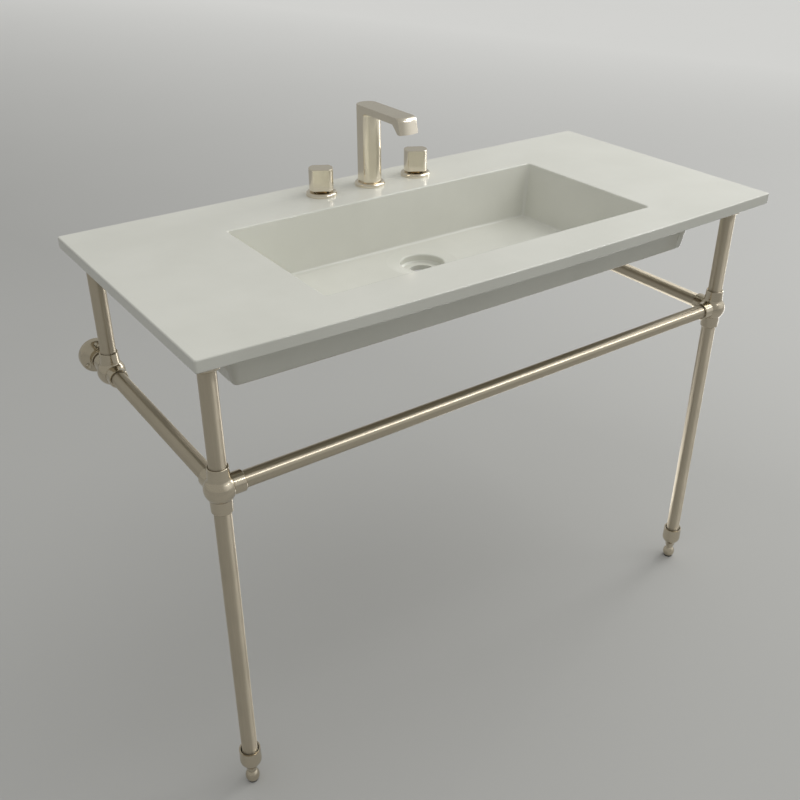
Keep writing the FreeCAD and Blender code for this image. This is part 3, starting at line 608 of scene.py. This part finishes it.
def drill(made, tool):
    """Cut a tool's shape out of an object and take the tool away."""
    cut = made.modifiers.new("cut", "BOOLEAN")
    cut.object = tool
    cut.solver = "EXACT"
    bpy.context.view_layer.update()
    graph = bpy.context.evaluated_depsgraph_get()
    data = bpy.data.meshes.new_from_object(made.evaluated_get(graph))
    made.modifiers.clear()
    made.data = data
    data.set_sharp_from_angle(angle=math.radians(SHARP_DEG))
    bpy.data.objects.remove(tool)


def cup_outline():
    """Neck that flares to a waist, a belly, and the rim and seat round the leg."""
    flare = arc(CUP_NECK, CUP_FLARE, CUP_WAIST)
    belly = arc(CUP_WAIST, CUP_BELLY, CUP_BULGE)
    return [CUP_NECK] + flare + belly + [*CUP_RIM, *CUP_INSIDE]


def foot_outline():
    """Sole over the pad, ball, collar and stud."""
    return [*FOOT_SOLE] + arc(FOOT_SOLE[-1], FOOT_BELLY, FOOT_NECK, FOOT_BELLY_STEPS) + [*FOOT_STUD]


def make_foot(side):
    """Vase-shaped cup round the leg, and the ball foot that screws into it."""
    cup_node = side + "_foot_cup"
    foot_node = side + "_levelling_foot"
    ground = Vector((middle_of(cup_node).x, middle_of(cup_node).y, 0.0))
    for outline, node_name, body in ((cup_outline(), cup_node, "console"),
                                     (foot_outline(), foot_node, side + "_leveller")):
        mesh = bmesh.new()
        turn(mesh, outline, ground, UP)
        stand_for(new_object(node_name + "_visual", mesh), node_name, body)


def body_growth(height):
    """How far the body has grown at a height above its bottom, as (front, side, back, edge inset)."""
    if height <= BODY_DRAFT_HEIGHT:
        edge = max(BOTTOM_EDGE - height, 0.0)
        inset = BOTTOM_EDGE - math.sqrt(BOTTOM_EDGE ** 2 - edge ** 2)
        grown = BODY_DRAFT * height / BODY_DRAFT_HEIGHT
        return grown, grown, grown, inset
    sweep = math.radians(COVE_DEG)
    share = (height - BODY_DRAFT_HEIGHT) / (BODY_HEIGHT - BODY_DRAFT_HEIGHT)
    angle = math.asin(min(share * math.sin(sweep), 1.0))
    out = (1.0 - math.cos(angle)) / (1.0 - math.cos(sweep))
    return tuple(BODY_DRAFT + COVE_OUT[part] * out for part in ("front", "side", "back")) + (0.0,)


def corner_section(height, end):
    """Plan points of the crescent that sharpens a body corner: tight arc out, solid's arc back."""
    front, side, back, inset = body_growth(height)
    half = BODY_HALF + side - inset
    wide = SOLID_CORNER + side - inset
    tight = TIGHT_CORNER + side - inset
    edge = BODY_FRONT - front + inset if end == "front" else BODY_BACK + back - inset
    inward = 1.0 if end == "front" else -1.0
    bow = BODY_BOW if end == "front" else 0.0
    lift = [-bow * (1.0 - ((half - reach) / half) ** 2) for reach in (wide, tight)]
    angles = [math.pi / 2 * step / CORNER_STEPS for step in range(CORNER_STEPS + 1)]
    points = [(half - wide, edge + lift[0])]
    points += [(half - tight + tight * math.sin(angle),
                edge + lift[1] + inward * tight * (1.0 - math.cos(angle))) for angle in angles]
    points.append((half, edge + inward * wide))
    sunk = wide - CORNER_SINK
    points += [(half - wide + sunk * math.sin(angle),
                edge + lift[0] + inward * (wide - sunk * math.cos(angle))) for angle in reversed(angles)]
    return points


def corner_heights():
    """Heights of a corner's sections: close together at the bottom's edge and in the cove."""
    cove = BODY_HEIGHT - BODY_DRAFT_HEIGHT
    return [*BOTTOM_EDGE_HEIGHTS, BOTTOM_EDGE, BODY_DRAFT_HEIGHT] + [
        BODY_DRAFT_HEIGHT + cove * step / COVE_STEPS for step in range(1, COVE_STEPS + 1)]


def make_body_corner(side, sign, end):
    """Glazed corner laid over the body's rounder one."""
    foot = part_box("sink_top")[0].z + FOOT_ABOVE_LOW
    mesh = bmesh.new()
    loops = [[mesh.verts.new((sign * x * MM, y * MM, foot + height * MM))
              for x, y in corner_section(height, end)] for height in corner_heights()]
    for lower, upper in zip(loops, loops[1:]):
        for step in range(len(lower)):
            after = (step + 1) % len(lower)
            mesh.faces.new((lower[step], lower[after], upper[after], upper[step]))
    mesh.faces.new(loops[0])
    mesh.faces.new(loops[-1])
    corner = new_object("body_corner_" + side + "_" + end, mesh)
    corner.data.materials.append(materials["glaze"])
    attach(corner, "console")


def make_camera():
    data = bpy.data.cameras.new("camera")
    data.lens = CAMERA_LENS
    data.sensor_width = CAMERA_SENSOR
    camera = bpy.data.objects.new("camera", data)
    camera.location = CAMERA_PLACE
    camera.rotation_euler = (math.radians(CAMERA_TILT_DEG), 0.0, math.radians(CAMERA_TURN_DEG))
    scene.collection.objects.link(camera)
    scene.camera = camera


def floor_material():
    """Pale matte floor, darker for the light that it throws back than for what looks at it, with painted
    light that makes its colour paler towards the right.
    """
    material, tree, shader = new_material("floor_matte", Specular_IOR_Level=FLOOR_GLOSS)
    point = object_point(tree)
    clouds = noise(tree, point, FLOOR_CLOUDS, CLOUD_DETAIL)
    towards_painted_light = toward(tree, point, FLOOR_PAINTED_LIGHT_AIM)
    near = mix(tree, clouds, FLOOR_DARK, FLOOR_LIGHT)
    # Painted light: the floor's colour grows paler towards the right, away from the object
    pale = mix(tree, remap(tree, towards_painted_light, *FLOOR_PAINTED_LIGHT_RISE, 0.0, 1.0), near, FLOOR_PAINTED_LIGHT)
    colour = mix(tree, looked_at(tree), FLOOR_BOUNCE, pale)
    roughness = spread(tree, clouds, ROUGHNESS_CONTRAST, *FLOOR_ROUGHNESS)
    surface(tree, shader, colour, roughness, bump(tree, noise(tree, point, FLOOR_GRAIN), FLOOR_RELIEF))
    return material


def make_floor():
    """Wide floor, not part of the object."""
    mesh = bpy.data.meshes.new("floor")
    grid = bmesh.new()
    bmesh.ops.create_grid(grid, x_segments=1, y_segments=1, size=FLOOR_HALF)
    grid.to_mesh(mesh)
    grid.free()
    floor = bpy.data.objects.new("floor", mesh)
    scene.collection.objects.link(floor)
    mesh.materials.append(floor_material())


def looked_at(tree):
    """1 for rays of the camera and for reflections, 0 for rays that carry light."""
    path = node(tree, "ShaderNodeLightPath")
    seen = calc(tree, "MAXIMUM", path.outputs["Is Camera Ray"], path.outputs["Is Glossy Ray"])
    return calc(tree, "MAXIMUM", seen, path.outputs["Is Transmission Ray"])


def toward(tree, point, aim):
    """How far a direction or a point lies towards an aim."""
    length = math.sqrt(sum(part * part for part in aim))
    unit = tuple(part / length for part in aim)
    return node(tree, "ShaderNodeVectorMath", {0: point, 1: unit}, operation="DOT_PRODUCT").outputs[1]


def make_world():
    """Even studio light, and a pale graded backdrop for what looks at it directly."""
    world = bpy.data.worlds.new("studio")
    scene.world = world
    world.use_nodes = True
    tree = world.node_tree
    tree.nodes.clear()
    direction = node(tree, "ShaderNodeTexCoord").outputs["Generated"]
    side = remap(tree, toward(tree, direction, BACKDROP_AIM), *BACKDROP_RISE, 0.0, 1.0)
    rise = remap(tree, toward(tree, direction, AMBIENT_AIM), *AMBIENT_RISE, 0.0, 1.0)
    backdrop = mix(tree, side, BACKDROP_DIM, BACKDROP_BRIGHT)
    ambient = mix(tree, rise, AMBIENT_LOW, AMBIENT_HIGH)
    shown = node(tree, "ShaderNodeBackground", {"Color": backdrop, "Strength": 1.0})
    light = node(tree, "ShaderNodeBackground", {"Color": ambient, "Strength": 1.0})
    both = node(tree, "ShaderNodeMixShader", {0: looked_at(tree), 1: light.outputs[0],
                                              2: shown.outputs[0]})
    output = node(tree, "ShaderNodeOutputWorld")
    tree.links.new(both.outputs[0], output.inputs["Surface"])


def make_lamp(name, place, target, width, height, power, only_mirrored=False, beam_deg=WIDE_BEAM_DEG):
    """Area lamp at a place, facing a target."""
    data = bpy.data.lights.new(name, "AREA")
    data.shape = "RECTANGLE"
    data.size = width
    data.size_y = height
    data.energy = power
    data.spread = math.radians(beam_deg)
    lamp = bpy.data.objects.new(name, data)
    lamp.location = place
    lamp.rotation_euler = (Vector(target) - Vector(place)).to_track_quat("-Z", "Y").to_euler()
    lamp.visible_camera = False
    lamp.visible_diffuse = not only_mirrored
    scene.collection.objects.link(lamp)


dress_nodes()
for side_name, inward_sign in (("left", 1.0), ("right", -1.0)):
    make_front_fitting(side_name, inward_sign)
    make_rear_fitting(side_name)
    make_wall_flange(side_name)
    make_foot(side_name)
    make_body_corner(side_name, -inward_sign, "front")
    make_body_corner(side_name, -inward_sign, "back")
make_camera()
make_floor()
make_world()
for lamp_facts in LAMPS:
    make_lamp(**lamp_facts)
